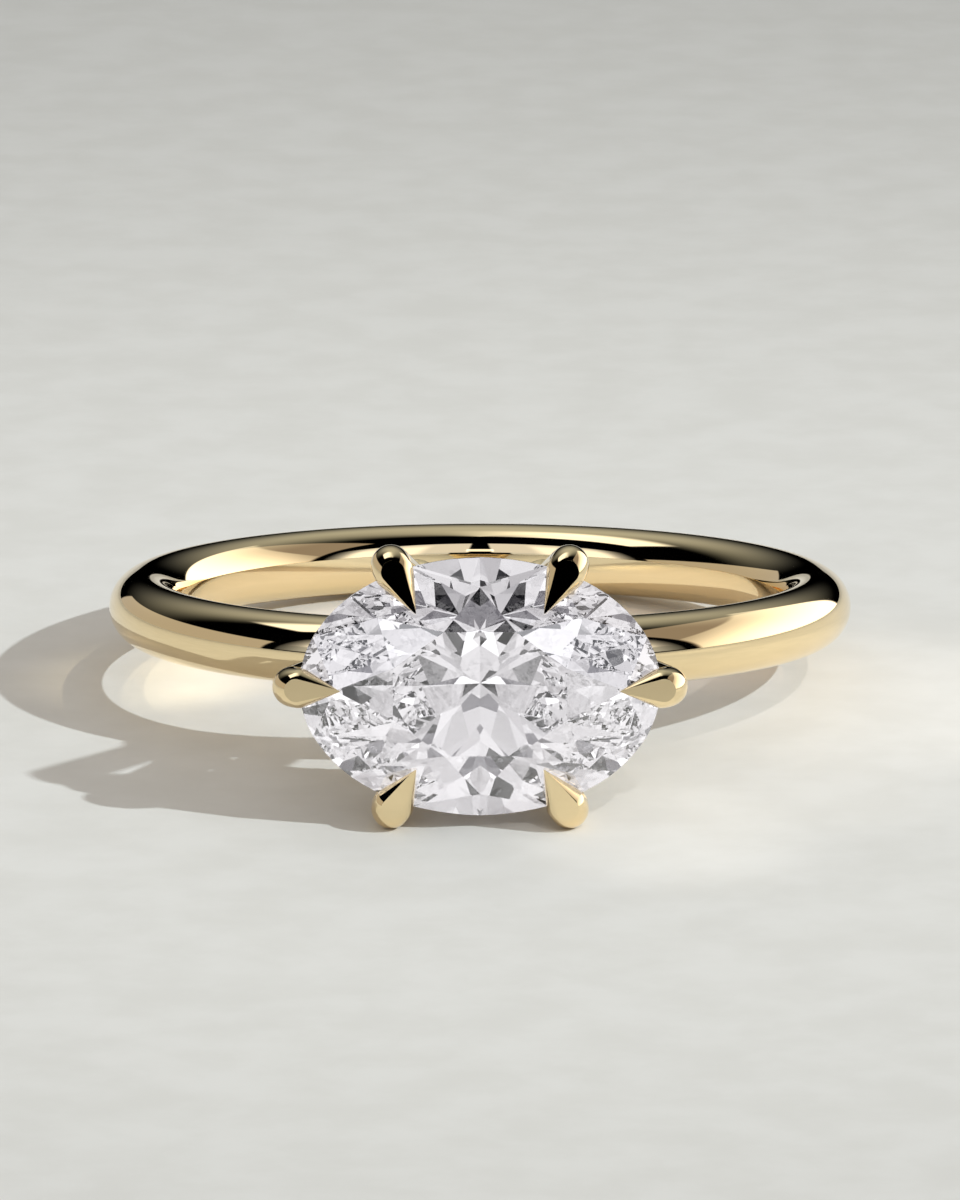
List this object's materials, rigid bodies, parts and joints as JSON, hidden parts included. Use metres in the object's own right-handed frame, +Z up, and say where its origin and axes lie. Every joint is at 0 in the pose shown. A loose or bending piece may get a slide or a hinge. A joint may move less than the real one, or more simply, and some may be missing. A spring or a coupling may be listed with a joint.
{
  "type": "solitaire ring",
  "caption": "Finger ring of round gold wire with an oval faceted stone held by pointed claws on an open basket, lying on its side.",
  "frame": {"origin": "middle of the ring's length and width at the ground that it lies on", "axes": "+Z up, -Y the way the stone faces, +X across the finger"},
  "size_m": [0.0208, 0.0266, 0.0076],
  "materials": {
    "yellow_gold": "polished",
    "diamond": "polished"
  },
  "bodies": {
    "root": {"band_and_setting": "yellow_gold", "oval_stone": "diamond"}
  },
  "joints": []
}
